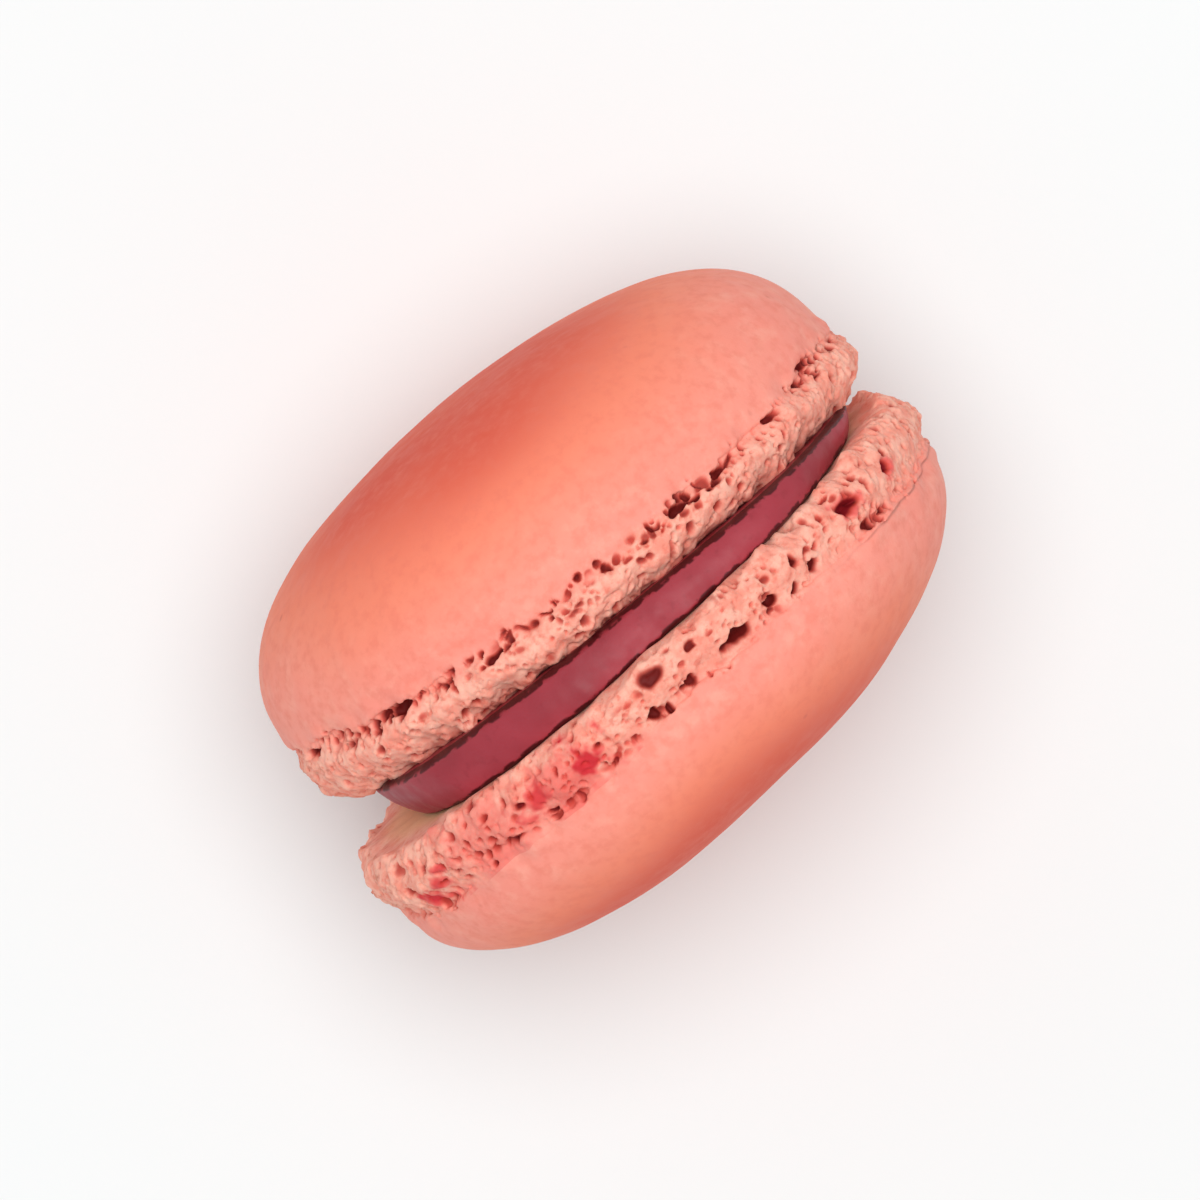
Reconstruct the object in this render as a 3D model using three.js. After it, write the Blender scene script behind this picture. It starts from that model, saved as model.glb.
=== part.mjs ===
// A french macaron: two baked shells with frilled feet and a fruit filling between them.
// It stands on its rim. Millimetres, +Z up, +X along the seam, +Y towards the thicker shell.
// A shell is drawn about its own axis: a turn of 0 is the top of its rim, a turn of 90 degrees
// is its +X end, and its height runs from the flat underside to the crown of the dome.
import * as THREE from "three";

const DEGREE = Math.PI / 180;

// The gap that keeps the filling clear of each shell, and how deep the rim is pressed flat
const CLEARANCE = 0.3;
const FLAT_DEPTH = 0.45;

// The thicker shell, on the +Y side
const BACK_SHELL = {
  name: "shell_back",
  side: 1,
  middleX: 0.6,
  undersideY: 0.85,
  lean: 5 * DEGREE,
  yaw: -1.6 * DEGREE,
  thickness: 14.8,
  lipRadius: 18.7,
  footRadius: 21.05,
  footWidest: 0.64,
  domeRadius: 20.7,
  domeShoulder: 2.65,
  domeCrown: 2.4,
  domeLop: 0,
  footTop: 3.1,
  footSwell: 1.0,
  footLop: -0.4,
  boundaryPits: 34,
  facePits: 14,
  largePits: [
    { turn: 19, height: 2.8, wide: 2.4, tall: 0.8, deep: 1.0 },
    { turn: 29, height: 2.8, wide: 1.8, tall: 0.7, deep: 0.7 },
    { turn: 60, height: 3.9, wide: 2.8, tall: 0.7, deep: 0.7 },
    { turn: -21, height: 2.8, wide: 1.6, tall: 0.7, deep: 0.7 },
    { turn: -42, height: 3.6, wide: 3.0, tall: 0.8, deep: 0.9 },
  ],
  seed: 11,
};

// The wider, thinner shell, on the -Y side
const FRONT_SHELL = {
  name: "shell_front",
  side: -1,
  middleX: 0,
  undersideY: -1.55,
  lean: 6.4 * DEGREE,
  yaw: 1.1 * DEGREE,
  thickness: 12.95,
  lipRadius: 20.9,
  footRadius: 21.9,
  footWidest: 0.45,
  domeRadius: 21.4,
  domeShoulder: 2.4,
  domeCrown: 2.2,
  domeLop: 0.08,
  footTop: 3.4,
  footSwell: 0.8,
  footLop: -0.2,
  boundaryPits: 26,
  facePits: 20,
  largePits: [
    { turn: 13, height: 2.7, wide: 2.7, tall: 1.3, deep: 1.2 },
    { turn: 21, height: 2.7, wide: 1.4, tall: 0.9, deep: 0.9 },
    { turn: 26, height: 3.1, wide: 1.1, tall: 0.8, deep: 0.8 },
    { turn: 28, height: 1.8, wide: 1.0, tall: 0.8, deep: 0.7 },
    { turn: 31, height: 2.9, wide: 1.2, tall: 0.8, deep: 0.8 },
    { turn: 43, height: 1.8, wide: 2.5, tall: 1.6, deep: 1.1 },
    { turn: 57, height: 2.1, wide: 1.4, tall: 1.0, deep: 0.8 },
    { turn: -2, height: 0.9, wide: 2.2, tall: 1.7, deep: 0.9 },
    { turn: -5, height: 2.9, wide: 1.2, tall: 0.8, deep: 0.7 },
  ],
  seed: 47,
};

// The filling, a disc that fits the wedge between the two undersides. It is wider where it meets
// the back shell, sits a little above the shells' middle, and is squarer than a true circle.
const FILLING = {
  name: "filling",
  middleX: 0.7,
  backRadius: 18.4,
  frontRadius: 16.8,
  backRise: 1.3,
  frontRise: 3.2,
  squareness: 2.6,
  bulge: 0.3,
  edgeRound: 0.35,
  wave: { size: 5, depth: 0.3 },
  flatInset: 0.6,
  sideRows: [0.15, 0.5, 0.85],
  segments: 120,
  seed: 83,
};

// The foot: rings from the lip up to the dome, and how far its crumb stands in and out
const FOOT_RINGS = 9;
const FOOT_SEGMENTS = 192;
const FOOT_FULLNESS = 0.7;
const FOOT_WAVE = { size: 5, depth: 0.3 };
const LIP_WAVE = { size: 1.8, depth: 0.15 };
const COARSE_LUMP = { size: 2.6, depth: 0.34 };
const FINE_LUMP = { size: 1.3, depth: 0.24 };

// The pits: where they lie, as a share of the foot's height, and how wide, tall and deep they are
const BOUNDARY_PIT = { share: [0.78, 1], wide: [0.9, 2.2], tall: [0.55, 0.85], deep: [0.3, 0.8] };
const FACE_PIT = { share: [0.15, 0.7], wide: [0.9, 1.4], tall: [0.55, 0.85], deep: [0.3, 0.6] };

// The dome: a groove, closed in places, parts it from the foot, and its skin waves a little
const GROOVE_DEPTH = 0.15;
const GROOVE_CHANGE = { size: 3, depth: 0.35 };
const GROOVE_REACH = 1.2;
const DOME_EDGE = 1 * DEGREE;
const DOME_RINGS = 11;
const HALVED_FROM = 2;
const QUARTERED_FROM = 8;
const DOME_CROWDING = 1.5;
const DOME_WAVE = { size: 9, depth: 0.16 };
const DOME_WAVE_REACH = 9;

// The flat underside keeps this far in from the lip
const UNDERSIDE_INSET = 2;

const SHELL_SKIN = new THREE.MeshStandardMaterial({ color: 0xf69a82, roughness: 0.75 });
const FILLING_SKIN = new THREE.MeshStandardMaterial({ color: 0xab4452, roughness: 0.4 });

// A repeatable value from -1 to 1 for three whole numbers and a seed
function chance(i, j, k, seed) {
  let mixed = Math.imul(i, 374761393) + Math.imul(j, 668265263);
  mixed = (mixed + Math.imul(k, 1274126177) + Math.imul(seed, 362437)) | 0;
  mixed = Math.imul(mixed ^ (mixed >>> 13), 1103515245);
  mixed ^= mixed >>> 16;
  return ((mixed >>> 0) / 4294967295) * 2 - 1;
}

function between([low, high], index, item, seed) {
  return low + ((high - low) * (chance(index, item, 0, seed) + 1)) / 2;
}

function fade(share) {
  return share * share * (3 - 2 * share);
}

function blend(from, to, share) {
  return from + (to - from) * share;
}

// Smooth noise from -1 to 1 in space, whose lumps are about one size across
function noise(x, y, z, size, seed) {
  const cell = [x, y, z].map((value) => Math.floor(value / size));
  const share = [x, y, z].map((value, axis) => fade(value / size - cell[axis]));
  const edge = (j, k) =>
    blend(
      chance(cell[0], cell[1] + j, cell[2] + k, seed),
      chance(cell[0] + 1, cell[1] + j, cell[2] + k, seed),
      share[0],
    );
  const near = blend(edge(0, 0), edge(1, 0), share[1]);
  const far = blend(edge(0, 1), edge(1, 1), share[1]);
  return blend(near, far, share[2]);
}

// The same noise at a point given by radius, turn and height
function roundNoise(radius, turn, height, lump, seed) {
  const value = noise(
    radius * Math.sin(turn),
    height,
    radius * Math.cos(turn),
    lump.size,
    seed,
  );
  return lump.depth * value;
}

// The foot is lower at the top of the rim than at its ends, and its upper edge waves
function footHeight(shell, turn) {
  const sine = Math.sin(turn);
  const slow = shell.footTop + shell.footSwell * sine * sine + shell.footLop * sine;
  return slow + roundNoise(shell.footRadius, turn, 0, FOOT_WAVE, shell.seed);
}

// The foot's section: out from the lip to its widest, then in to the groove under the dome
function footSection(shell, turn, share) {
  const change = roundNoise(shell.domeRadius, turn, 0, GROOVE_CHANGE, shell.seed + 5);
  const groove = shell.domeRadius - Math.max(0, GROOVE_DEPTH + change);
  if (share < shell.footWidest) {
    const rise = Math.sin(((Math.PI / 2) * share) / shell.footWidest) ** FOOT_FULLNESS;
    return blend(shell.lipRadius, shell.footRadius, rise);
  }
  const fall = (share - shell.footWidest) / (1 - shell.footWidest);
  return blend(shell.footRadius, groove, fade(fall));
}

// Pits lie in a row under the dome's edge and, smaller, on the face of the foot
function scatterPits(shell) {
  const pits = shell.largePits.map((pit) => ({ ...pit, turn: pit.turn * DEGREE }));
  const total = shell.boundaryPits + shell.facePits;
  for (let i = 0; i < total; i++) {
    const range = i < shell.boundaryPits ? BOUNDARY_PIT : FACE_PIT;
    const turn = Math.PI * chance(i, 1, 0, shell.seed);
    pits.push({
      turn,
      height: between(range.share, i, 2, shell.seed) * footHeight(shell, turn),
      wide: between(range.wide, i, 3, shell.seed),
      tall: between(range.tall, i, 4, shell.seed),
      deep: between(range.deep, i, 5, shell.seed),
    });
  }
  return pits;
}

// How far the deepest pit at a place on the foot goes in
function pitDepth(shell, pits, turn, height) {
  let depth = 0;
  for (const pit of pits) {
    const turned = Math.atan2(Math.sin(turn - pit.turn), Math.cos(turn - pit.turn));
    const along = (2 * turned * shell.footRadius) / pit.wide;
    const up = (2 * (height - pit.height)) / pit.tall;
    depth = Math.max(depth, pit.deep * Math.exp(-along * along - up * up));
  }
  return depth;
}

function crumb(shell, turn, height) {
  const coarse = roundNoise(shell.footRadius, turn, height, COARSE_LUMP, shell.seed + 1);
  const fine = roundNoise(shell.footRadius, turn, height, FINE_LUMP, shell.seed + 2);
  return coarse + fine;
}

// One point of the foot, from its share of the way from the lip to the dome
function footPoint(shell, pits, turn, share) {
  const foot = footHeight(shell, turn);
  const lip = roundNoise(shell.lipRadius, turn, 0, LIP_WAVE, shell.seed + 3);
  const height = blend(lip, foot, share);
  const relief = crumb(shell, turn, height) - pitDepth(shell, pits, turn, height);
  return { radius: footSection(shell, turn, share) + relief, height };
}

// One point of the dome, from its share of the quarter turn from its edge to the crown
function domePoint(shell, pits, turn, share) {
  const foot = footHeight(shell, turn);
  const quarter = blend(DOME_EDGE, Math.PI / 2, share);
  const out = Math.cos(quarter) ** (2 / shell.domeShoulder);
  const up = Math.sin(quarter) ** (2 / shell.domeCrown);
  const lopsided = 1 - shell.domeLop * out * Math.sin(turn);
  const swell = roundNoise(shell.domeRadius * out, turn, DOME_WAVE_REACH * up, DOME_WAVE, shell.seed + 4);
  const height = foot + up * ((shell.thickness - foot) * lopsided + swell);
  const edge = Math.max(0, 1 - (height - foot) / GROOVE_REACH);
  const relief = edge * crumb(shell, turn, height) - pitDepth(shell, pits, turn, height);
  return { radius: Math.max(0, (shell.domeRadius + swell) * out + out * relief), height };
}

// The shell's axis stands this high, so that its lowest part is pressed flat by the flat depth
function axisHeight(shell) {
  let lowest = 0;
  for (let ring = 0; ring < FOOT_RINGS; ring++) {
    const share = ring / (FOOT_RINGS - 1);
    const height = share * (shell.footTop + shell.footSwell / 2);
    const drop = footSection(shell, Math.PI, share) * Math.cos(shell.lean);
    lowest = Math.min(lowest, shell.side * height * Math.sin(shell.lean) - drop);
  }
  return -lowest - FLAT_DEPTH;
}

// The greatest radius a point may have before it would go through the floor
function floorLimit(shell, axis, turn, height) {
  const downward = -Math.cos(turn) * Math.cos(shell.lean);
  if (downward <= 0) return Infinity;
  return (axis + shell.side * height * Math.sin(shell.lean)) / downward;
}

// Adds a closed ring of points and gives back their numbers
function addRing(points, count, place) {
  const ring = [];
  for (let i = 0; i < count; i++) {
    ring.push(points.length / 3);
    points.push(...place((i / count) * 2 * Math.PI));
  }
  return ring;
}

// Joins two closed rings, which may differ in count, by a band of triangles
function addBand(faces, low, high, side) {
  let a = 0;
  let b = 0;
  while (a < low.length || b < high.length) {
    const lowNext = (a + 0.5) / low.length;
    const highNext = (b + 0.5) / high.length;
    const stepLow = b === high.length || (a < low.length && lowNext < highNext);
    const from = low[a % low.length];
    const across = high[b % high.length];
    if (stepLow) a++;
    else b++;
    const next = stepLow ? low[a % low.length] : high[b % high.length];
    if (next === from || next === across) continue;
    faces.push(...(side > 0 ? [from, next, across] : [from, across, next]));
  }
}

function closedGeometry(points, rings, side) {
  const faces = [];
  for (let i = 1; i < rings.length; i++) addBand(faces, rings[i - 1], rings[i], side);
  const geometry = new THREE.BufferGeometry();
  geometry.setAttribute("position", new THREE.Float32BufferAttribute(points, 3));
  geometry.setIndex(faces);
  geometry.computeVertexNormals();
  return geometry;
}

// The dome has fewer segments the nearer a ring is to its crown
function domeSegments(ring) {
  if (ring < HALVED_FROM) return FOOT_SEGMENTS;
  return FOOT_SEGMENTS / (ring < QUARTERED_FROM ? 2 : 4);
}

function shellMesh(shell) {
  const axis = axisHeight(shell);
  const pits = scatterPits(shell);
  const points = [];
  const rings = [];
  const put = (turn, { radius, height }) => {
    const kept = Math.min(radius, floorLimit(shell, axis, turn, height));
    return [kept * Math.sin(turn), shell.side * height, kept * Math.cos(turn)];
  };
  const add = (count, profile) => rings.push(addRing(points, count, (turn) => put(turn, profile(turn))));

  const inner = shell.lipRadius - UNDERSIDE_INSET;
  add(1, () => ({ radius: 0, height: 0 }));
  add(FOOT_SEGMENTS / 4, () => ({ radius: inner / 2, height: 0 }));
  add(FOOT_SEGMENTS / 2, () => ({ radius: inner, height: 0 }));
  for (let ring = 0; ring < FOOT_RINGS; ring++)
    add(FOOT_SEGMENTS, (turn) => footPoint(shell, pits, turn, ring / (FOOT_RINGS - 1)));
  for (let ring = 0; ring < DOME_RINGS; ring++) {
    const share = (ring / DOME_RINGS) ** DOME_CROWDING;
    add(domeSegments(ring), (turn) => domePoint(shell, pits, turn, share));
  }
  add(1, () => domePoint(shell, pits, 0, 1));

  const mesh = new THREE.Mesh(closedGeometry(points, rings, shell.side), SHELL_SKIN);
  mesh.name = shell.name;
  mesh.position.set(shell.middleX, shell.undersideY, axis);
  mesh.rotation.set(shell.lean, 0, shell.yaw, "ZYX");
  return mesh;
}

// The underside of a placed shell at a place on the seam, as a distance along Y
function undersideAt(shellAt, x, z) {
  const facing = new THREE.Vector3(0, 1, 0).applyEuler(shellAt.rotation);
  const offset = facing.x * (x - shellAt.position.x) + facing.z * (z - shellAt.position.z);
  return shellAt.position.y - offset / facing.y;
}

// How far out a squared circle of radius 1 reaches at a turn
function squaredCircle(turn, squareness) {
  const across = Math.abs(Math.sin(turn)) ** squareness + Math.abs(Math.cos(turn)) ** squareness;
  return across ** (-1 / squareness);
}

function fillingMesh(back, front) {
  const middleZ = (back.position.z + front.position.z) / 2;
  const points = [];
  const rings = [];
  const place = (turn, inset, share) => {
    const wave = roundNoise(FILLING.backRadius, turn, 0, FILLING.wave, FILLING.seed);
    const bulge = FILLING.bulge * Math.sin(Math.PI * share);
    const reach = blend(FILLING.frontRadius, FILLING.backRadius, share);
    const radius = inset * (reach * squaredCircle(turn, FILLING.squareness) + wave + bulge);
    const x = FILLING.middleX + radius * Math.sin(turn);
    const z = middleZ + blend(FILLING.frontRise, FILLING.backRise, share) + radius * Math.cos(turn);
    const low = undersideAt(front, x, z) + CLEARANCE;
    const high = undersideAt(back, x, z) - CLEARANCE;
    return [x, blend(low, high, share), z];
  };
  const add = (count, inset, share) =>
    rings.push(addRing(points, count, (turn) => place(turn, inset, share)));

  const rounded = 1 - FILLING.edgeRound / FILLING.backRadius;
  add(1, 0, 0);
  add(FILLING.segments / 2, FILLING.flatInset, 0);
  add(FILLING.segments, rounded, 0);
  for (const share of FILLING.sideRows) add(FILLING.segments, 1, share);
  add(FILLING.segments, rounded, 1);
  add(FILLING.segments / 2, FILLING.flatInset, 1);
  add(1, 0, 1);

  const mesh = new THREE.Mesh(closedGeometry(points, rings, 1), FILLING_SKIN);
  mesh.name = FILLING.name;
  return mesh;
}

// Moves the macaron so that the middle of its box is over the origin
function centred(group) {
  group.updateMatrixWorld(true);
  const middle = new THREE.Box3().setFromObject(group, true).getCenter(new THREE.Vector3());
  group.position.set(-middle.x, -middle.y, 0);
  return group;
}

const back = shellMesh(BACK_SHELL);
const front = shellMesh(FRONT_SHELL);
const macaron = new THREE.Group().add(back, front, fillingMesh(back, front));
const part = new THREE.Group().add(centred(macaron));
part.name = "french_macaron";

export default part;
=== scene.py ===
# The looks of a french macaron: fine shells with frilled feet, and the fruit filling between them.
# Shapes are worked out in millimetres, in the part's own frame, and made into metres at the end.
# A turn of 0 is the top of the rim, and a height runs from a shell's underside to its crown.
import itertools
import math

import bpy
import numpy as np
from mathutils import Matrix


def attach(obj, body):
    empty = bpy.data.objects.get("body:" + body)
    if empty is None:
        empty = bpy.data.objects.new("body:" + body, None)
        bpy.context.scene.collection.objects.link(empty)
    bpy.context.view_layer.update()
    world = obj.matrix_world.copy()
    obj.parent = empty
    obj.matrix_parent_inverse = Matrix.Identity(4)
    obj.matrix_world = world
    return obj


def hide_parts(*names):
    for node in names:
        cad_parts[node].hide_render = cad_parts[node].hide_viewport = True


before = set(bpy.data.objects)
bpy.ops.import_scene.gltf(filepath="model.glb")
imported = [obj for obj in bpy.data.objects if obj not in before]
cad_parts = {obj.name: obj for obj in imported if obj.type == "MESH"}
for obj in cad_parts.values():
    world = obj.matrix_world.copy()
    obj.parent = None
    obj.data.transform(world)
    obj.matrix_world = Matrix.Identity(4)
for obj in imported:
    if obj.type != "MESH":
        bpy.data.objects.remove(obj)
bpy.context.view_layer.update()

MM = 0.001
DEGREE = math.pi / 180

# The thicker shell, on the +Y side. The turns of pits and stains are in degrees.
BACK_SHELL = {
    "name": "shell_back",
    "side": 1,
    "middle": (0.450, 0.318, 20.323),
    "lean": 5 * DEGREE,
    "yaw": -1.6 * DEGREE,
    "thickness": 14.8,
    "lip_radius": 18.7,
    "foot_radius": 21.05,
    "foot_widest": 0.64,
    "dome_radius": 20.7,
    "dome_shoulder": 2.65,
    "dome_crown": 2.4,
    "dome_lop": 0,
    "foot_top": 3.1,
    "foot_swell": 1.0,
    "foot_lop": -0.4,
    "boundary_pits": 34,
    "face_pits": 14,
    "large_pits": [
        {"turn": 19, "height": 2.8, "wide": 2.4, "tall": 0.8, "deep": 1.0},
        {"turn": 29, "height": 2.8, "wide": 1.8, "tall": 0.7, "deep": 0.7},
        {"turn": 60, "height": 3.9, "wide": 2.8, "tall": 0.7, "deep": 0.7},
        {"turn": -21, "height": 2.8, "wide": 1.6, "tall": 0.7, "deep": 0.7},
        {"turn": -42, "height": 3.6, "wide": 3.0, "tall": 0.8, "deep": 0.9},
    ],
    "chain_from": -0.55,
    # Where the painted shade and red bounce light lies across the dome, and how far up it starts and is
    # full
    "blush_middle": -1.5,
    "blush_from": -0.25,
    "blush_full": 1.0,
    "stains": [],
    "seed": 11,
}

# The wider, thinner shell, on the -Y side
FRONT_SHELL = {
    "name": "shell_front",
    "side": -1,
    "middle": (-0.150, -2.082, 21.503),
    "lean": 6.4 * DEGREE,
    "yaw": 1.1 * DEGREE,
    "thickness": 12.95,
    "lip_radius": 20.9,
    "foot_radius": 21.9,
    "foot_widest": 0.45,
    "dome_radius": 21.4,
    "dome_shoulder": 2.4,
    "dome_crown": 2.2,
    "dome_lop": 0.08,
    "foot_top": 3.4,
    "foot_swell": 0.8,
    "foot_lop": -0.2,
    "boundary_pits": 26,
    "face_pits": 20,
    "large_pits": [
        {"turn": 13, "height": 2.7, "wide": 2.7, "tall": 1.3, "deep": 1.2},
        {"turn": 21, "height": 2.7, "wide": 1.4, "tall": 0.9, "deep": 0.9},
        {"turn": 26, "height": 3.1, "wide": 1.1, "tall": 0.8, "deep": 0.8},
        {"turn": 28, "height": 1.8, "wide": 1.0, "tall": 0.8, "deep": 0.7},
        {"turn": 31, "height": 2.9, "wide": 1.2, "tall": 0.8, "deep": 0.8},
        {"turn": 43, "height": 1.8, "wide": 2.5, "tall": 1.6, "deep": 1.1},
        {"turn": 57, "height": 2.1, "wide": 1.4, "tall": 1.0, "deep": 0.8},
        {"turn": -2, "height": 0.9, "wide": 2.2, "tall": 1.7, "deep": 0.55},
        {"turn": -5, "height": 2.9, "wide": 1.2, "tall": 0.8, "deep": 0.7},
    ],
    "chain_from": 0.0,
    # Where the painted shade and red bounce light lies across the dome, and how far up it starts and is
    # full
    "blush_middle": -2,
    "blush_from": -0.05,
    "blush_full": 0.8,
    "stains": [
        {"turn": -18.5, "height": 2.3, "reach": 1.5, "strength": 1.0},
        {"turn": -29, "height": 2.0, "reach": 1.4, "strength": 0.85},
        {"turn": -24, "height": 2.4, "reach": 4.0, "strength": 0.45},
        {"turn": -40, "height": 2.4, "reach": 6.0, "strength": 0.36},
        {"turn": 43, "height": 1.8, "reach": 1.3, "strength": 0.7},
        {"turn": 57, "height": 2.1, "reach": 1.1, "strength": 0.6},
        {"turn": -54, "height": 2.0, "reach": 0.8, "strength": 0.8},
        {"turn": -57, "height": 2.8, "reach": 0.9, "strength": 0.8},
        {"turn": -63, "height": 3.5, "reach": 1.5, "strength": 0.95},
    ],
    "seed": 47,
}

# The filling, a disc that fits the wedge between the two undersides
FILLING = {
    "middle_x": 0.550,
    "back_radius": 18.4,
    "front_radius": 16.8,
    "back_rise": 1.3,
    "front_rise": 3.2,
    "squareness": 2.6,
    "bulge": 0.3,
    "edge_round": 0.5,
    "rounded_from": 0.75,
    "wave": (5, 0.3),
    "ripples": ((1.7, 0.08), (0.8, 0.04)),
    "ripple_reach": 3,
    "bite": 0.04,
    # How wide the painted contact shadow is along each shell, in millimetres
    "front_shadow_width": 0.75,
    "back_shadow_width": 0.6,
    "seed": 83,
}

# Rows and columns of the meshes, and how much the rows crowd towards a rim
AROUND = 1600
FOOT_ROWS = 42
EDGE_ROWS = 4
DOME_ROWS = 46
DOME_CROWDING = 1.25
UNDERSIDE_ROWS = 14
UNDERSIDE_CROWDING = 0.35
FILLING_AROUND = AROUND // 2
FILLING_ROWS = 41
FILLING_INSETS = (0.4, 0.8, 0.95)

# Lumps of the foot's form and crumb, each with a size across and a depth
FOOT_FULLNESS = 0.7
FOOT_WAVE = (5, 0.3)
LIP_WAVE = (1.8, 0.15)
LIP_CRUMB = ((1.1, 0.3), (0.5, 0.12))
COARSE_LUMP = (2.6, 0.34)
FINE_LUMP = (1.3, 0.24)
GRAIN = (0.26, 0.02)
BLOBS = ((0.9, 0.14), (0.45, 0.07))
BLOB_REACH = 0.62
RAGGED_EDGE = (1.1, 0.16)

# The frill along the lip dies away between two shares of the foot's height
FRILL = (1.15, 0.3)
FRILL_END = (0.1, 0.6)

# Where the crumb, its colour and the pits end, as heights above the foot's upper edge
CRUMB_END = (-0.35, 0.3)
CRUMB_WANDER = (0.8, 0.3)
TINT_END = (-1.0, 0.4)
TINT_WANDER = (1.2, 0.5)
PIT_END = (0.1, 0.5)

# Pits: where they lie, as a share of the foot's height, and how wide, tall and deep they are
BOUNDARY_PIT = {"share": (0.78, 1), "wide": (0.9, 2.2), "tall": (0.55, 0.85), "deep": (0.3, 0.8)}
FACE_PIT = {"share": (0.15, 0.7), "wide": (0.9, 1.4), "tall": (0.55, 0.85), "deep": (0.3, 0.6)}
PIT_BEND_ALONG = (0.7, 0.3)
PIT_BEND_UP = (0.6, 0.25)
PIT_WALL = (0.4, 1.0)
BRIDGE_SIZE = 0.6
BRIDGE_EDGE = (-0.35, 0.1)
BRIDGE_DEPTH = 0.2

# The torn line under the dome's edge, with crevices where the tears are
LINE_DROP = 0.3
LINE_WAVES = ((1.6, 0.3), (0.55, 0.25))
TEARS = ((1.2, 1.0), (0.45, 0.6))
TEAR_EDGE = (0.4, 0.85)
CREVICE_DEPTH = 0.5
CREVICE_HALF = 0.15
CREVICE_CHANGE = (0.9, 0.5)

# Round holes: how far apart, how far each reaches as a share of that, and how deep.
# The bubbles' bend and patches are shares of how far apart they are.
BUBBLES = ((1.05, 0.36, 0.45), (0.6, 0.36, 0.28))
BUBBLE_BEND = (0.8, 0.3)
BUBBLE_PATCHES = 2
BUBBLE_EDGE = (-0.5, 0.1)
CHAIN = (0.8, 0.46, 0.62)
CHAIN_BEND = (0.6, 0.25)
CHAIN_HALF = (0.3, 0.65)
CHAIN_PLACES = 1.4
CHAIN_FADE = 0.5

# How deep a hole is where its painted shade is full, and the greatest share of that
PIT_SHADE_DEPTH = 0.5
PIT_SHADE_MOST = 1.6

# Stains are torn by noise of these sizes, and flattened along the rim
STAIN_TEARS = (1.0, 0.5, 0.25)
STAIN_RAGGEDNESS = 0.5
STAIN_FLATNESS = 1.4
STAIN_EDGE = (0.3, 1.2)

# The dome: a groove, closed in places, parts it from the foot, and its skin waves a little
GROOVE_DEPTH = 0.15
GROOVE_CHANGE = (3, 0.35)
GROOVE_REACH = 1.2
EDGE_RISE = 0.36
DOME_EDGE = 1 * DEGREE
DOME_WAVE = (9, 0.16)
DOME_RIPPLE = (2.4, 0.03)
DOME_WAVE_REACH = 9

# Up the dome its rows turn from the foot's wavy edge to an even height above the foot
EVEN_ABOVE = 0.5
EVEN_FROM = (0.1, 0.6)

# The cloud of painted shade and red bounce light on a dome: its half width and height, its place, and
# how it wanders
DOME_SHADE_WIDE = 17
DOME_SHADE_TALL = 19
DOME_SHADE_RISE = 7
DOME_SHADE_EDGE = (0.4, 1.6)
DOME_SHADE_WANDER = (9, 2.2)
DOME_SHADE_CHANGE = (7, 0.07)
DOME_SHADE_STRENGTH = 0.97

# The flat underside, which ruffles towards the lip and is paler away from it
UNDERSIDE_WAVE = (1.2, 0.05)
LIP_RUFFLE = (1.7, 0.25)
RUFFLE_CROWDING = 8
UNDERSIDE_TINT = (3.2, 0.9)

# Marks that each point of a shell carries for its material
MARKS = ("hollow", "foot", "blush", "under", "stain")

# Colours as they look on a screen, 0 to 255
COLOURS = {
    "skin": (250, 151, 135),
    "warm skin": (250, 157, 140),
    # The two shaded skins are painted shade and red bounce light on the dome, deepest towards the crown
    "pale skin": (255, 184, 164),
    "dark skin": (232, 118, 98),
    "shaded skin": (247, 139, 111),
    "deep shaded skin": (222, 82, 62),
    "dark speck": (206, 92, 76),
    "pale speck": (255, 224, 206),
    "pale crumb": (252, 184, 163),
    "crumb": (244, 152, 132),
    "dark crumb": (224, 112, 94),
    "underside": (255, 198, 152),
    "pink stain": (232, 92, 88),
    "red stain": (208, 28, 46),
    # Painted shade for the insides of pits and holes, the stained one over a red stain
    "hollow": (194, 62, 50),
    "deep hollow": (100, 5, 5),
    "stained hollow": (128, 6, 22),
    "cream": (166, 57, 69),
    "dark cream": (148, 47, 58),
    "cream streak": (128, 34, 44),
    # Painted contact shadow where the filling meets the shells
    "cream contact shadow": (70, 3, 10),
    "floor": (238, 240, 240),
    "grey floor": (234, 237, 237),
}

# The camera looks straight down, and the seam runs up to the right in its view
CAMERA_HEIGHT = 0.97
CAMERA_LENS = 468
SENSOR_WIDTH = 36
CLIP_END = 20
SEAM_SLOPE = 41 * DEGREE

# The floor and the light, in metres and watts: a round softbox over the macaron in a white room
FLOOR_REACH = 6
ROOM_STRENGTH = 0.5
SOFTBOX_PLACE = (0.04, 0.05, 1.25)
SOFTBOX_SIZE = 0.9
SOFTBOX_POWER = 11.3
AIM_HEIGHT = 0.02


# Repeatable values from -1 to 1 for whole numbers and a seed
def chance(i, j, k, seed):
    mixed = (i * 374761393 + j * 668265263 + k * 1274126177 + seed * 362437) & 0xFFFFFFFF
    mixed = ((mixed ^ (mixed >> 13)) * 1103515245) & 0xFFFFFFFF
    mixed = mixed ^ (mixed >> 16)
    return mixed / 4294967295 * 2 - 1


# A repeatable value between two ends
def between(ends, index, item, seed):
    low, high = ends
    return low + (high - low) * (chance(index, item, 0, seed) + 1) / 2


def fade(share):
    return share * share * (3 - 2 * share)


def blend(start, end, share):
    return start + (end - start) * share


def step(low, high, value):
    return fade(np.clip((value - low) / (high - low), 0, 1))


def ring_point(radius, turn, height):
    radius, turn, height = np.broadcast_arrays(radius, turn, height)
    return np.stack([radius * np.sin(turn), height, radius * np.cos(turn)], axis=-1)


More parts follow.
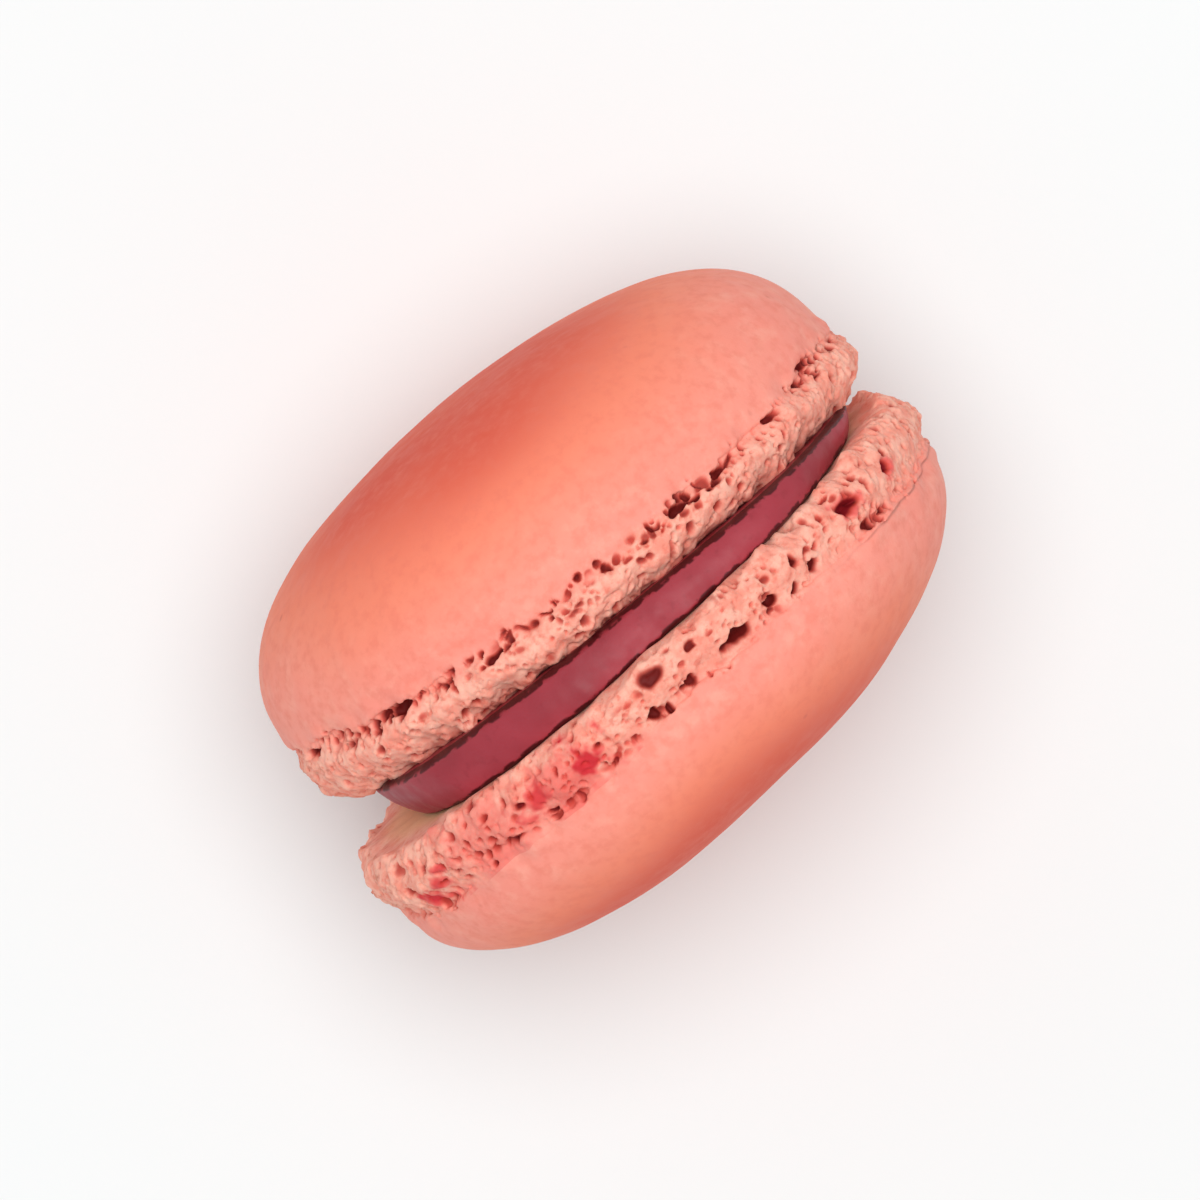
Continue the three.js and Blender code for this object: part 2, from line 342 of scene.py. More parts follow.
# Smooth noise from -1 to 1 in space, whose lumps are about one size across.
# Each use adds its own number to a seed, so that no noise repeats another.
def noise(points, size, seed):
    scaled = points / size
    cell = np.floor(scaled).astype(np.int64)
    share = fade(scaled - cell)
    total = np.zeros(points.shape[:-1])
    for corner in itertools.product((0, 1), repeat=3):
        weight = np.prod(np.where(corner, share, 1 - share), axis=-1)
        at = cell + np.array(corner)
        total += weight * chance(at[..., 0], at[..., 1], at[..., 2], seed)
    return total


# Noise of a lump's size across and depth
def lumps(points, lump, seed):
    size, depth = lump
    return depth * noise(points, size, seed)


# The distance, in cells, to the nearest of points scattered one to a cell
def nearest_seed(points, size, seed):
    scaled = points / size
    cell = np.floor(scaled).astype(np.int64)
    nearest = np.full(points.shape[:-1], 9.0)
    for offset in itertools.product((-1, 0, 1), repeat=3):
        at = cell + np.array(offset)
        shift = [chance(at[..., 0], at[..., 1], at[..., 2], seed + axis) for axis in range(3)]
        place = at + 0.5 + 0.5 * np.stack(shift, axis=-1)
        distance = np.linalg.norm(place - scaled, axis=-1)
        nearest = np.minimum(nearest, distance)
    return nearest


# How deep a round hollow is at a distance from its middle, as a share
def bowl(away, reach):
    return np.clip(1 - (away / reach) ** 2, 0, 1) ** 0.5


# The angle on from one turn to another, from half a turn back to half a turn on
def turned_from(start, turn):
    return np.arctan2(np.sin(turn - start), np.cos(turn - start))


# The foot is lower at the top of the rim than at its ends, and its upper edge waves
def foot_height(shell, turn):
    sine = np.sin(turn)
    slow = shell["foot_top"] + shell["foot_swell"] * sine * sine + shell["foot_lop"] * sine
    around = ring_point(shell["foot_radius"], turn, 0.0)
    return slow + lumps(around, FOOT_WAVE, shell["seed"])


# The foot's upper edge as it is torn from the dome
def ragged_edge(shell, turn):
    around = ring_point(shell["foot_radius"], turn, 0.0)
    return foot_height(shell, turn) + lumps(around, RAGGED_EDGE, shell["seed"] + 5)


def lip_height(shell, turn):
    ring = ring_point(shell["lip_radius"], turn, 0.0)
    height = lumps(ring, LIP_WAVE, shell["seed"] + 3)
    for number, lump in enumerate(LIP_CRUMB):
        height = height + lumps(ring, lump, shell["seed"] + 44 + number)
    return height


# The groove under the dome's edge is deep in some places and closed in others
def groove_depth(shell, turn):
    change = lumps(ring_point(shell["dome_radius"], turn, 0.0), GROOVE_CHANGE, shell["seed"] + 5)
    return np.maximum(0, GROOVE_DEPTH + change)


# The foot's section: out from the lip to its widest, then in to the groove under the dome
def foot_section(shell, turn, share):
    widest = shell["foot_widest"]
    rise = np.sin(np.pi / 2 * np.clip(share / widest, 0, 1)) ** FOOT_FULLNESS
    fall = np.clip((share - widest) / (1 - widest), 0, 1)
    outward = blend(shell["lip_radius"], shell["foot_radius"], rise)
    groove = shell["dome_radius"] - groove_depth(shell, turn)
    inward = blend(shell["foot_radius"], groove, fade(fall))
    return np.where(share < widest, outward, inward)


# The pits: the large ones, a row under the dome's edge, and smaller ones on the foot's face
def scatter_pits(shell):
    seed = shell["seed"]
    pits = [{**pit, "turn": pit["turn"] * DEGREE} for pit in shell["large_pits"]]
    for i in range(shell["boundary_pits"] + shell["face_pits"]):
        kind = BOUNDARY_PIT if i < shell["boundary_pits"] else FACE_PIT
        turn = math.pi * chance(i, 1, 0, seed)
        pits.append({
            "turn": turn,
            "height": between(kind["share"], i, 2, seed) * float(foot_height(shell, turn)),
            "wide": between(kind["wide"], i, 3, seed),
            "tall": between(kind["tall"], i, 4, seed),
            "deep": between(kind["deep"], i, 5, seed),
        })
    return pits


# How far the pits go in, with ragged walls, and bridges that break up all but the large ones
def pit_depth(shell, turn, height, points):
    seed = shell["seed"]
    bend_along = lumps(points, PIT_BEND_ALONG, seed + 20)
    bend_up = lumps(points, PIT_BEND_UP, seed + 21)
    bridged = blend(BRIDGE_DEPTH, 1, step(*BRIDGE_EDGE, noise(points, BRIDGE_SIZE, seed + 22)))
    depth = np.zeros(points.shape[:-1])
    for number, pit in enumerate(scatter_pits(shell)):
        distance = turned_from(pit["turn"], turn) * shell["foot_radius"]
        along = 2 * (distance + bend_along) / pit["wide"]
        up = 2 * (height - pit["height"] + bend_up) / pit["tall"]
        inside = 1 - step(*PIT_WALL, np.hypot(along, up))
        if number >= len(shell["large_pits"]):
            inside = inside * bridged
        depth = np.maximum(depth, pit["deep"] * inside)
    return depth


# The height of the wavy line just under the dome's edge along which the foot is torn
def torn_line(shell, around, foot):
    line = foot - LINE_DROP
    for number, wave in enumerate(LINE_WAVES):
        line = line + lumps(around, wave, shell["seed"] + 30 + number)
    return line


# Short crevices along the torn line
def crevice_depth(shell, around, off_line):
    seed = shell["seed"]
    torn = step(*TEAR_EDGE, lumps(around, TEARS[0], seed + 32) + lumps(around, TEARS[1], seed + 33))
    half = CREVICE_HALF * (1 + lumps(around, CREVICE_CHANGE, seed + 34))
    return CREVICE_DEPTH * torn * np.exp(-((off_line / half) ** 2))


# Holes close together, like a chain, along the torn line
def chain_depth(shell, around, off_line, points):
    seed = shell["seed"]
    size, reach, deep = CHAIN
    bent = points + lumps(points, CHAIN_BEND, seed + 35)[..., None]
    near_line = 1 - step(*CHAIN_HALF, np.abs(off_line))
    start = shell["chain_from"]
    present = step(start, start + CHAIN_FADE, noise(around, CHAIN_PLACES, seed + 39))
    return deep * near_line * present * bowl(nearest_seed(bent, size, seed + 36), reach)


def crumb(shell, points):
    seed = shell["seed"]
    return lumps(points, COARSE_LUMP, seed + 1) + lumps(points, FINE_LUMP, seed + 2)


# Rounded blobs that stand out of the crumb
def blob_relief(shell, points):
    total = lumps(points, GRAIN, shell["seed"] + 40)
    for number, (size, depth) in enumerate(BLOBS):
        away = nearest_seed(points, size, shell["seed"] + 50 + 5 * number)
        total = total + depth * (1 - step(0.0, BLOB_REACH, away))
    return total


# Round holes left by burst bubbles
def bubble_depth(shell, points):
    seed = shell["seed"]
    depth = np.zeros(points.shape[:-1])
    bend_size, bend_depth = BUBBLE_BEND
    for number, (size, reach, deep) in enumerate(BUBBLES):
        bent = points + lumps(points, (bend_size * size, bend_depth * size), seed + 66)[..., None]
        away = nearest_seed(bent, size, seed + 70 + 5 * number)
        open_here = step(*BUBBLE_EDGE, noise(points, BUBBLE_PATCHES * size, seed + 80 + number))
        depth = np.maximum(depth, deep * open_here * bowl(away, reach))
    return depth


# A value at each point for every mark, which is 0 for those not given
def all_marks(points, **given):
    blank = np.zeros(points.shape[:-1])
    return {name: given.get(name, blank) for name in MARKS}


# Unit vectors that point out of a grid of points whose rows go round
def grid_normals(points):
    around = np.roll(points, -1, axis=1) - np.roll(points, 1, axis=1)
    upward = np.gradient(points, axis=0)
    square = np.cross(around, upward)
    return square / np.maximum(np.linalg.norm(square, axis=-1, keepdims=True), 1e-9)


# The smooth form of the foot and of the dome's edge above it, as rows of radii and heights
def foot_grid(shell, turn, foot):
    share = np.linspace(0, 1, FOOT_ROWS)[:, None]
    height = blend(lip_height(shell, turn), foot, share)
    radius = foot_section(shell, turn, share)
    quarter = np.linspace(0, np.pi / 2, EDGE_ROWS + 1)[1:, None]
    edge_height = foot + EDGE_RISE * (1 - np.cos(quarter))
    edge_radius = shell["dome_radius"] - groove_depth(shell, turn) * (1 - np.sin(quarter))
    return np.concatenate([radius, edge_radius]), np.concatenate([height, edge_height])


# How deep the foot's pits, tears, chain of holes and bubbles are
def foot_holes(shell, turn, height, foot, section, on_foot):
    around = ring_point(shell["foot_radius"], turn, 0.0)
    off_line = height - torn_line(shell, around, foot)
    return np.maximum.reduce([
        pit_depth(shell, turn, height, section) * (1 - step(*PIT_END, height - foot)),
        crevice_depth(shell, around, off_line),
        chain_depth(shell, around, off_line, section),
        on_foot * bubble_depth(shell, section),
    ])


# The rows of the foot and of the dome's edge, with every lump, pit and tear
def foot_rows(shell, turn, foot):
    seed = shell["seed"]
    radius, height = foot_grid(shell, turn, foot)
    base = ring_point(shell["foot_radius"], turn, height)
    placed = ring_point(radius + crumb(shell, base), turn, height)

    section = ring_point(radius, turn, height)
    above = height - foot
    on_foot = 1 - step(*CRUMB_END, above + lumps(section, CRUMB_WANDER, seed + 45))
    holes = foot_holes(shell, turn, height, foot, section, on_foot)
    frill = lumps(section, FRILL, seed + 46) * (1 - step(*FRILL_END, height / foot))
    relief = frill + on_foot * blob_relief(shell, section) - holes
    finished = placed + grid_normals(placed) * relief[..., None]
    return finished, all_marks(
        finished,
        # Painted shade in the holes, fuller where they go deeper
        hollow=np.clip(holes / PIT_SHADE_DEPTH, 0, PIT_SHADE_MOST),
        foot=1 - step(*TINT_END, above + lumps(section, TINT_WANDER, seed + 47)),
        stain=stain_strength(shell, turn, height, section),
    )


# Where the foot is stained red, in patches with torn outlines
def stain_strength(shell, turn, height, points):
    strength = np.zeros(points.shape[:-1])
    torn = np.ones(points.shape[:-1])
    for number, size in enumerate(STAIN_TEARS):
        torn += STAIN_RAGGEDNESS * size**0.5 * noise(points, size, shell["seed"] + 90 + number)
    for stain in shell["stains"]:
        distance = turned_from(stain["turn"] * DEGREE, turn) * shell["foot_radius"]
        away = np.hypot(distance, STAIN_FLATNESS * (height - stain["height"]))
        patch = stain["strength"] * (1 - step(*STAIN_EDGE, torn * away / stain["reach"]))
        strength = np.maximum(strength, patch)
    return strength


# Where shade and red bounce light are painted on the dome: a soft cloud with an uneven outline, a
# little above the middle
def blush_cloud(shell, points):
    seed = shell["seed"]
    across = points[..., 0] - shell["blush_middle"] + lumps(points, DOME_SHADE_WANDER, seed + 8)
    along = points[..., 2] - DOME_SHADE_RISE + lumps(points, DOME_SHADE_WANDER, seed + 9)
    away = np.hypot(across / DOME_SHADE_WIDE, along / DOME_SHADE_TALL)
    cloud = DOME_SHADE_STRENGTH * (1 - step(*DOME_SHADE_EDGE, away))
    return cloud * (1 + lumps(points, DOME_SHADE_CHANGE, seed + 7))


# The rows of the dome, from just above its edge to just short of its crown
def dome_rows(shell, turn, foot):
    share = (np.arange(1, DOME_ROWS) / DOME_ROWS)[:, None] ** DOME_CROWDING
    quarter = blend(DOME_EDGE, np.pi / 2, share)
    out = np.cos(quarter) ** (2 / shell["dome_shoulder"])
    up = np.sin(quarter) ** (2 / shell["dome_crown"])
    place = ring_point(shell["dome_radius"] * out, turn, DOME_WAVE_REACH * up)
    swell = lumps(place, DOME_WAVE, shell["seed"] + 4) + lumps(place, DOME_RIPPLE, shell["seed"] + 6)
    lopsided = 1 - shell["dome_lop"] * out * np.sin(turn)
    start = blend(foot, shell["foot_top"] + EVEN_ABOVE, step(*EVEN_FROM, share))
    height = start + up * ((shell["thickness"] - start) * lopsided + swell)
    base = ring_point(shell["foot_radius"], turn, height)
    near_edge = 1 - step(EDGE_RISE, EDGE_RISE + GROOVE_REACH, height - foot)
    radius = out * (shell["dome_radius"] + swell * (1 - near_edge) + near_edge * crumb(shell, base))
    points = ring_point(radius, turn, height)
    # Painted shade and red bounce light, rising towards the crown
    blush = blush_cloud(shell, points) * step(shell["blush_from"], shell["blush_full"], up)
    return points, all_marks(points, blush=blush)


# The rows of the flat underside, from its middle to just short of the lip
def underside_rows(shell, turn):
    share = (np.arange(1, UNDERSIDE_ROWS) / UNDERSIDE_ROWS)[:, None] ** UNDERSIDE_CROWDING
    radius = share * shell["lip_radius"] * np.ones_like(turn)
    points = ring_point(radius, turn, 0.0)
    size, depth = UNDERSIDE_WAVE
    points[..., 1] = depth * (noise(points, size, shell["seed"] + 60) - 1) * share
    points[..., 1] += lumps(points, LIP_RUFFLE, shell["seed"] + 61) * share**RUFFLE_CROWDING
    full_at, none_at = UNDERSIDE_TINT
    paler = 1 - step(shell["lip_radius"] - full_at, shell["lip_radius"] - none_at, radius)
    return points, all_marks(points, foot=np.ones_like(radius), under=paler)


# Turns rows of points into one list, and bands of faces between them
class RowMesh:
    def __init__(self):
        self.points = []
        self.marks = {}
        self.faces = []
        self.count = 0
        self.last = None

    def add_row(self, points, marks):
        ring = np.arange(self.count, self.count + len(points))
        self.count += len(points)
        self.points.append(points)
        for name, values in marks.items():
            self.marks.setdefault(name, []).append(np.broadcast_to(values, len(points)))
        if self.last is not None:
            self.faces += band(self.last, ring)
        self.last = ring

    # Adds a grid of rows, of which only every so many columns are kept
    def add_rows(self, points, marks, every=1):
        for row in range(len(points)):
            kept = {name: values[row, ::every] for name, values in marks.items()}
            self.add_row(points[row, ::every], kept)


# The faces between two rings: equal counts, two to one, or a fan to a single point
def band(low, high):
    if len(low) == len(high):
        return np.stack([low, np.roll(low, -1), np.roll(high, -1), high], axis=1).tolist()
    finer_below = len(low) > len(high)
    fine, coarse = (low, high) if finer_below else (high, low)
    if len(coarse) == 1:
        faces = np.stack([fine, np.roll(fine, -1), np.full_like(fine, coarse[0])], axis=1)
    else:
        first, middle, last = fine[0::2], fine[1::2], np.roll(fine[0::2], -1)
        after = np.roll(coarse, -1)
        faces = np.concatenate([
            np.stack([first, middle, coarse], axis=1),
            np.stack([middle, after, coarse], axis=1),
            np.stack([middle, last, after], axis=1),
        ])
    return (faces if finer_below else faces[:, ::-1]).tolist()


# A piece from rows of points in the part's frame, in millimetres
def make_piece(name, rows, flipped, material):
    points = np.concatenate(rows.points) * MM
    faces = [face[::-1] for face in rows.faces] if flipped else rows.faces
    mesh = bpy.data.meshes.new(name)
    mesh.from_pydata(points.tolist(), [], faces)
    mesh.shade_smooth()
    for label, values in rows.marks.items():
        layer = mesh.attributes.new(label, "FLOAT", "POINT")
        layer.data.foreach_set("value", np.concatenate(values).astype(np.float32))
    mesh.materials.append(material)
    piece = bpy.data.objects.new(name, mesh)
    bpy.context.scene.collection.objects.link(piece)
    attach(piece, "root")
    return piece


# Carries points from a shell's own axes to where the shell stands, pressed flat on the floor
def stand(shell, points):
    x, height, z = points[..., 0], shell["side"] * points[..., 1], points[..., 2]
    lean, yaw = shell["lean"], shell["yaw"]
    y = height * math.cos(lean) - z * math.sin(lean)
    z = height * math.sin(lean) + z * math.cos(lean)
    turned_x = x * math.cos(yaw) - y * math.sin(yaw)
    turned_y = x * math.sin(yaw) + y * math.cos(yaw)
    middle = shell["middle"]
    return np.stack([turned_x + middle[0], turned_y + middle[1], np.maximum(z + middle[2], 0)], axis=-1)


def cut(marks, rows):
    return {name: values[rows] for name, values in marks.items()}


# A shell from the middle of its underside to its crown. The foot has all the columns, the rows
# next to it have half of them, and the rest of the underside and the dome a quarter.
def make_shell(shell, material):
    turn = np.arange(AROUND) / AROUND * 2 * np.pi
    half_turn = turn[::2]
    foot = ragged_edge(shell, turn)
    foot_points, foot_marks = foot_rows(shell, turn, foot)
    dome_points, dome_marks = dome_rows(shell, half_turn, foot[::2])
    under_points, under_marks = underside_rows(shell, half_turn)

    rows = RowMesh()
    middle = np.zeros((1, 3))
    rows.add_row(stand(shell, middle), all_marks(middle, under=np.ones(1)))
    rows.add_rows(stand(shell, under_points[:-1]), cut(under_marks, slice(0, -1)), 2)
    rows.add_rows(stand(shell, under_points[-1:]), cut(under_marks, slice(-1, None)))
    rows.add_rows(stand(shell, foot_points), foot_marks)
    rows.add_rows(stand(shell, dome_points[:1]), cut(dome_marks, slice(0, 1)))
    rows.add_rows(stand(shell, dome_points[1:]), cut(dome_marks, slice(1, None)), 2)
    crown = np.array([[0, dome_points[-1, :, 1].mean(), 0]])
    rows.add_row(stand(shell, crown), all_marks(crown, blush=dome_marks["blush"][-1:].mean(axis=1)))
    piece = make_piece(shell["name"] + "_skin", rows, shell["side"] < 0, material)
    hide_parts(shell["name"])
    return piece


# The underside of a standing shell at a place on the seam, as a distance along Y
def underside_at(shell, x, z):
    lean, yaw = shell["lean"], shell["yaw"]
    facing = (-math.sin(yaw) * math.cos(lean), math.cos(yaw) * math.cos(lean), math.sin(lean))
    middle = shell["middle"]
    return middle[1] - (facing[0] * (x - middle[0]) + facing[2] * (z - middle[2])) / facing[1]


# How far out a squared circle of radius 1 reaches at a turn
def squared_circle(turn, squareness):
    across = np.abs(np.sin(turn)) ** squareness + np.abs(np.cos(turn)) ** squareness
    return across ** (-1 / squareness)


def filling_row(turn, inset, share):
    seed = FILLING["seed"]
    around = ring_point(FILLING["back_radius"], turn, FILLING["ripple_reach"] * share)
    wave = lumps(ring_point(FILLING["back_radius"], turn, 0.0), FILLING["wave"], seed)
    for number, ripple in enumerate(FILLING["ripples"]):
        wave = wave + lumps(around, ripple, seed + 1 + number)
    bulge = FILLING["bulge"] * math.sin(math.pi * share)
    reach = blend(FILLING["front_radius"], FILLING["back_radius"], share)
    radius = inset * (reach * squared_circle(turn, FILLING["squareness"]) + wave + bulge)
    middle_z = (BACK_SHELL["middle"][2] + FRONT_SHELL["middle"][2]) / 2
    x = FILLING["middle_x"] + radius * np.sin(turn)
    z = middle_z + blend(FILLING["front_rise"], FILLING["back_rise"], share) + radius * np.cos(turn)
    low = underside_at(FRONT_SHELL, x, z) - FILLING["bite"]
    high = underside_at(BACK_SHELL, x, z) + FILLING["bite"]
    return np.stack([x, blend(low, high, share), z], axis=-1)


# How much painted contact shadow a row of the filling's side gets, from how near it is to each shell
def contact_shadow(thickness, share):
    front = 1 - share * thickness / FILLING["front_shadow_width"]
    back = 1 - (1 - share) * thickness / FILLING["back_shadow_width"]
    return np.clip(np.maximum(front, back), 0, 1)


# The filling, from the middle of its front face, over its side, to the middle of its back face
def make_filling(material):
    turn = np.arange(FILLING_AROUND) / FILLING_AROUND * 2 * np.pi
    rounding = FILLING["edge_round"] / FILLING["back_radius"]
    rounded_from = FILLING["rounded_from"]
    thickness = filling_row(turn, 1, 1)[:, 1] - filling_row(turn, 1, 0)[:, 1]
    rows = RowMesh()
    rows.add_row(filling_row(turn[:1], 0, 0), {"edge": np.zeros(1)})
    for inset in FILLING_INSETS:
        rows.add_row(filling_row(turn, inset, 0), {"edge": np.zeros_like(turn)})
    for share in np.linspace(0, 1, FILLING_ROWS):
        corner = max(0, abs(2 * share - 1) - rounded_from) / (1 - rounded_from)
        row = filling_row(turn, 1 - rounding * corner**2, share)
        # The edge mark is the painted contact shadow next to each shell
        rows.add_row(row, {"edge": contact_shadow(thickness, share)})
    for inset in reversed(FILLING_INSETS):
        rows.add_row(filling_row(turn, inset, 1), {"edge": np.zeros_like(turn)})
    rows.add_row(filling_row(turn[:1], 0, 1), {"edge": np.zeros(1)})
    piece = make_piece("filling_cream", rows, False, material)
    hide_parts("filling")
    return piece


# Joins an input to another node's output, or sets it to a plain value
def feed(tree, socket, value):
    if isinstance(value, bpy.types.NodeSocket):
        tree.links.new(value, socket)
    else:
        socket.default_value = value


# Feeds inputs by their names, in which an underscore stands for a space
def feed_all(tree, node, **inputs):
    for name, value in inputs.items():
        feed(tree, node.inputs[name.replace("_", " ")], value)


# Adds a node, sets what it is given, and feeds its inputs
def add_node(tree, kind, settings=(), **inputs):
    made = tree.nodes.new(kind)
    for name, value in dict(settings).items():
        setattr(made, name, value)
    feed_all(tree, made, **inputs)
    return made


def mark(tree, name):
    return add_node(tree, "ShaderNodeAttribute", {"attribute_name": name}).outputs["Fac"]


def grain(tree, size_mm, detail=2.0, roughness=0.5):
    place = add_node(tree, "ShaderNodeTexCoord").outputs["Object"]
    return add_node(
        tree,
        "ShaderNodeTexNoise",
        Vector=place,
        Scale=1 / (size_mm * MM),
        Detail=detail,
        Roughness=roughness,
    ).outputs["Fac"]


# Turns values between low and high smoothly into shares between start and end
def remap(tree, value, low, high, start=0.0, end=1.0):
    return add_node(
        tree,
        "ShaderNodeMapRange",
        {"interpolation_type": "SMOOTHSTEP"},
        Value=value,
        From_Min=low,
        From_Max=high,
        To_Min=start,
        To_Max=end,
    ).outputs["Result"]


# Patches of noise about one size across, which are full above the higher of two levels
def patches(tree, size_mm, levels, most=1.0, detail=2.0, roughness=0.5):
    return remap(tree, grain(tree, size_mm, detail, roughness), *levels, 0.0, most)


def times(tree, first, second):
    made = add_node(tree, "ShaderNodeMath", {"operation": "MULTIPLY"})
    feed(tree, made.inputs[0], first)
    feed(tree, made.inputs[1], second)
    return made.outputs["Value"]


def mix(tree, share, first, second):
    made = add_node(tree, "ShaderNodeMix", {"data_type": "RGBA"})
    for index, value in ((0, share), (6, first), (7, second)):
        feed(tree, made.inputs[index], value)
    return made.outputs[2]


# A normal that noise pushes in and out by a depth, over another normal if one is given
def bump(tree, size_mm, strength, depth_mm, **under):
    return add_node(
        tree,
        "ShaderNodeBump",
        Height=grain(tree, size_mm, 3),
        Strength=strength,
        Distance=depth_mm * MM,
        **under,
    ).outputs["Normal"]


# A named colour, turned from how it looks on a screen into shares of light
def paint(name):
    shares = [value / 255 for value in COLOURS[name]]
    return tuple(s / 12.92 if s <= 0.04045 else ((s + 0.055) / 1.055) ** 2.4 for s in shares) + (1.0,)


# Lays a share of a named colour over another colour
def tinted(tree, colour, share, name):
    return mix(tree, share, colour, paint(name))


def new_material(name):
    material = bpy.data.materials.new(name)
    material.use_nodes = True
    tree = material.node_tree
    return material, tree, tree.nodes["Principled BSDF"]


# Small round specks scattered a distance apart, of a size as a share of it, with soft edges
def specks(tree, apart_mm, size, soft, most):
    place = add_node(tree, "ShaderNodeTexCoord").outputs["Object"]
    made = add_node(tree, "ShaderNodeTexVoronoi", Vector=place, Scale=1 / (apart_mm * MM))
    return times(tree, remap(tree, made.outputs["Distance"], size, size + soft, 1.0, 0.0), most)


# The dome's skin: mottled, with painted shade and red bounce light towards the crown, and lightly
# specked
def skin_colour(tree):
    blush = mark(tree, "blush")
    pale = patches(tree, 1.4, (0.45, 0.75), most=0.4, detail=4, roughness=0.6)
    dark = patches(tree, 0.8, (0.42, 0.72), most=0.36, detail=4, roughness=0.6)
    colour = tinted(tree, paint("skin"), patches(tree, 7, (0.35, 0.7)), "warm skin")
    colour = tinted(tree, colour, pale, "pale skin")
    # Painted shade and red bounce light over the dome, deeper towards the crown
    colour = tinted(tree, colour, remap(tree, blush, 0.0, 0.6), "shaded skin")
    colour = tinted(tree, colour, remap(tree, blush, 0.45, 1.15), "deep shaded skin")
    colour = tinted(tree, colour, dark, "dark skin")
    colour = tinted(tree, colour, specks(tree, 6.5, size=0.02, soft=0.03, most=0.4), "dark speck")
    return tinted(tree, colour, specks(tree, 9.3, size=0.012, soft=0.02, most=0.6), "pale speck")


def crumb_colour(tree):
    mottled = patches(tree, 1.1, (0.35, 0.65), detail=4, roughness=0.6)
    colour = tinted(tree, paint("pale crumb"), mottled, "crumb")
    return tinted(tree, colour, patches(tree, 0.45, (0.52, 0.75), most=0.6), "dark crumb")


# Stains, and then painted shade in the pits, crevices and holes, over the colour of the crumb
def marked_colour(tree, colour):
    stain = mark(tree, "stain")
    hollow = mark(tree, "hollow")
    deepest = tinted(tree, paint("deep hollow"), remap(tree, stain, 0.2, 0.5), "stained hollow")
    colour = tinted(tree, colour, remap(tree, stain, 0.0, 0.6, 0.0, 0.8), "pink stain")
    colour = tinted(tree, colour, remap(tree, stain, 0.5, 1.0, 0.0, 0.9), "red stain")
    # Painted shade inside the pits and holes, darkest and reddest where they are deepest
    colour = tinted(tree, colour, remap(tree, hollow, 0.12, 0.7, 0.0, 0.85), "hollow")
    return mix(tree, remap(tree, hollow, 0.5, 1.1, 0.0, 0.95), colour, deepest)


def shell_material():
    material, tree, surface = new_material("baked_meringue")
    colour = mix(tree, mark(tree, "foot"), skin_colour(tree), crumb_colour(tree))
    colour = tinted(tree, colour, mark(tree, "under"), "underside")
    broad = bump(tree, 1.3, strength=0.3, depth_mm=0.06)
    feed_all(
        tree,
        surface,
        Base_Color=marked_colour(tree, colour),
        Roughness=remap(tree, grain(tree, 1.5), 0.3, 0.7, 0.62, 0.78),
        Specular_IOR_Level=0.22,
        Subsurface_Weight=0.1,
        Subsurface_Radius=(1.0, 0.35, 0.2),
        Subsurface_Scale=0.5 * MM,
        Normal=bump(tree, 0.22, strength=0.14, depth_mm=0.1, Normal=broad),
    )
    return material


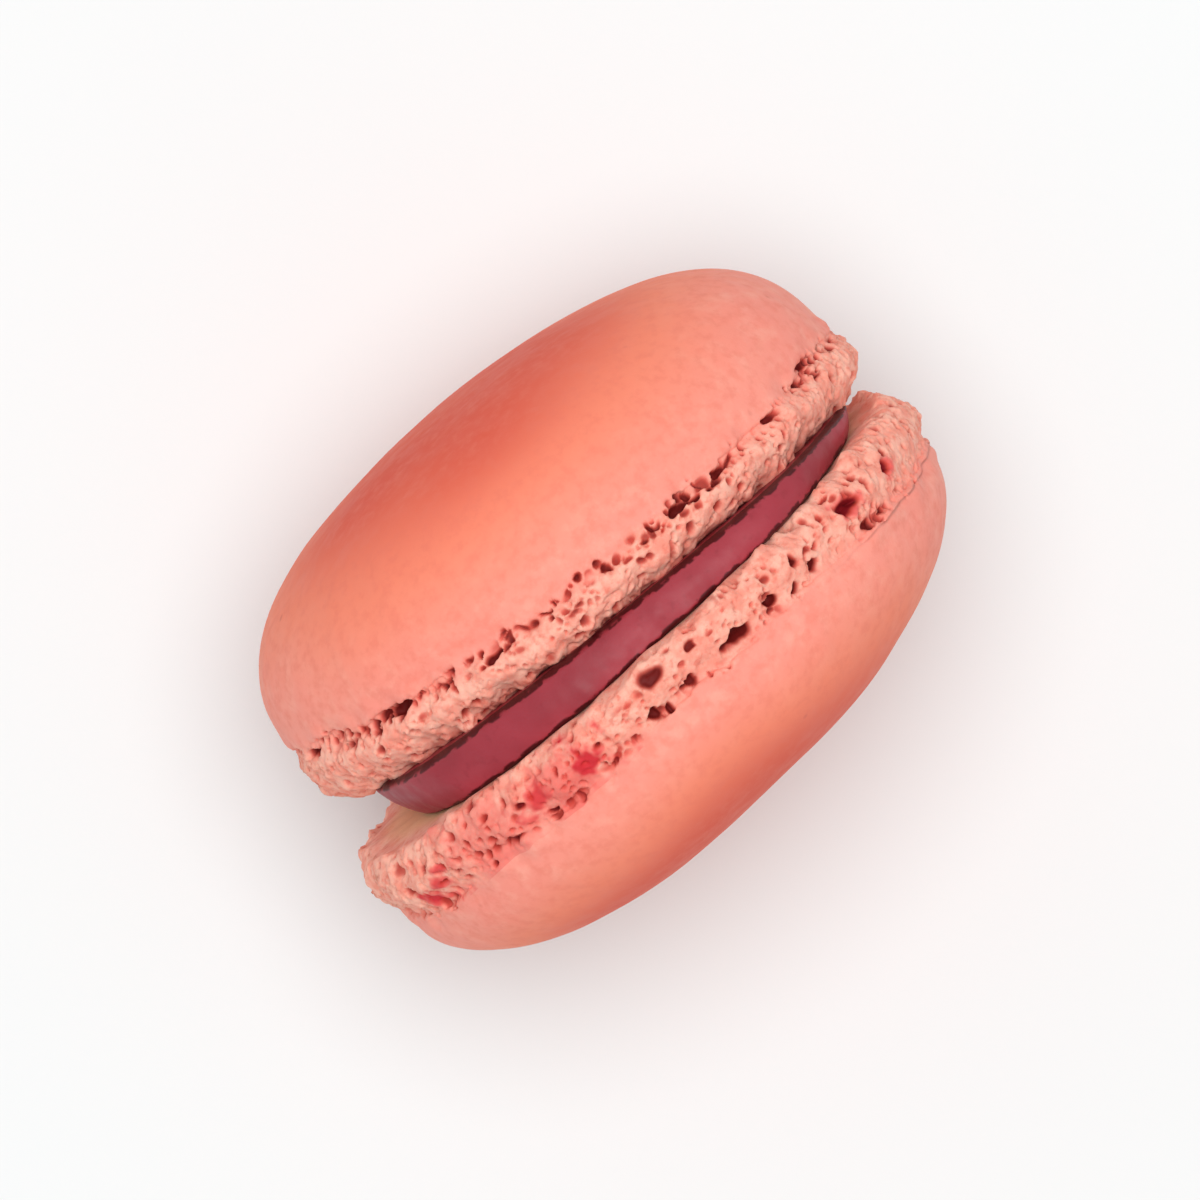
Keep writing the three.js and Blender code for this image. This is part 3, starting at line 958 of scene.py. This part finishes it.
# The filling's cream, with painted contact shadow along its ragged edges where it meets the shells
def filling_material():
    material, tree, surface = new_material("raspberry_cream")
    colour = tinted(tree, paint("cream"), patches(tree, 5, (0.3, 0.7)), "dark cream")
    colour = tinted(tree, colour, patches(tree, 0.7, (0.55, 0.75), most=0.3, detail=3), "cream streak")
    # The edge mark, torn by noise, lays painted contact shadow along the shells
    ragged = times(tree, mark(tree, "edge"), remap(tree, grain(tree, 0.9, 3), 0.4, 0.6, 0.75, 1.3))
    feed_all(
        tree,
        surface,
        Base_Color=tinted(tree, colour, remap(tree, ragged, 0.4, 0.65, 0.0, 0.95), "cream contact shadow"),
        Roughness=remap(tree, grain(tree, 1.1), 0.3, 0.7, 0.45, 0.58),
        Specular_IOR_Level=0.28,
        Subsurface_Weight=0.15,
        Subsurface_Radius=(1.0, 0.2, 0.2),
        Subsurface_Scale=0.5 * MM,
        Normal=bump(tree, 0.5, strength=0.2, depth_mm=0.1),
    )
    return material


# The pale floor and its material
def make_floor():
    material, tree, surface = new_material("pale_floor")
    colour = tinted(tree, paint("floor"), grain(tree, 90), "grey floor")
    feed_all(tree, surface, Base_Color=colour, Roughness=0.9, Specular_IOR_Level=0.2)
    mesh = bpy.data.meshes.new("floor")
    corners = [(x * FLOOR_REACH, y * FLOOR_REACH, 0) for x, y in ((-1, -1), (1, -1), (1, 1), (-1, 1))]
    mesh.from_pydata(corners, [], [(0, 1, 2, 3)])
    mesh.materials.append(material)
    floor = bpy.data.objects.new("floor", mesh)
    bpy.context.scene.collection.objects.link(floor)


def make_lights():
    world = bpy.data.worlds.new("studio")
    world.use_nodes = True
    background = world.node_tree.nodes["Background"]
    feed_all(world.node_tree, background, Color=(1.0, 1.0, 1.0, 1.0), Strength=ROOM_STRENGTH)
    bpy.context.scene.world = world
    lamp = bpy.data.lights.new("softbox", "AREA")
    lamp.shape = "DISK"
    lamp.size = SOFTBOX_SIZE
    lamp.energy = SOFTBOX_POWER
    softbox = bpy.data.objects.new("softbox", lamp)
    softbox.location = SOFTBOX_PLACE
    softbox.rotation_euler = aim(softbox.location)
    bpy.context.scene.collection.objects.link(softbox)


# Angles that point a light's own -Z from a place towards the middle of the macaron
def aim(place):
    toward = -place
    toward.z += AIM_HEIGHT
    return toward.to_track_quat("-Z", "Y").to_euler()


def make_camera():
    data = bpy.data.cameras.new("camera")
    data.lens = CAMERA_LENS
    data.sensor_width = SENSOR_WIDTH
    data.clip_end = CLIP_END
    camera = bpy.data.objects.new("camera", data)
    camera.location = (0, 0, CAMERA_HEIGHT)
    camera.rotation_euler = (0, 0, -SEAM_SLOPE)
    bpy.context.scene.collection.objects.link(camera)
    bpy.context.scene.camera = camera


bpy.context.scene.view_settings.view_transform = "Standard"
shell_skin = shell_material()
make_shell(BACK_SHELL, shell_skin)
make_shell(FRONT_SHELL, shell_skin)
make_filling(filling_material())
make_floor()
make_lights()
make_camera()
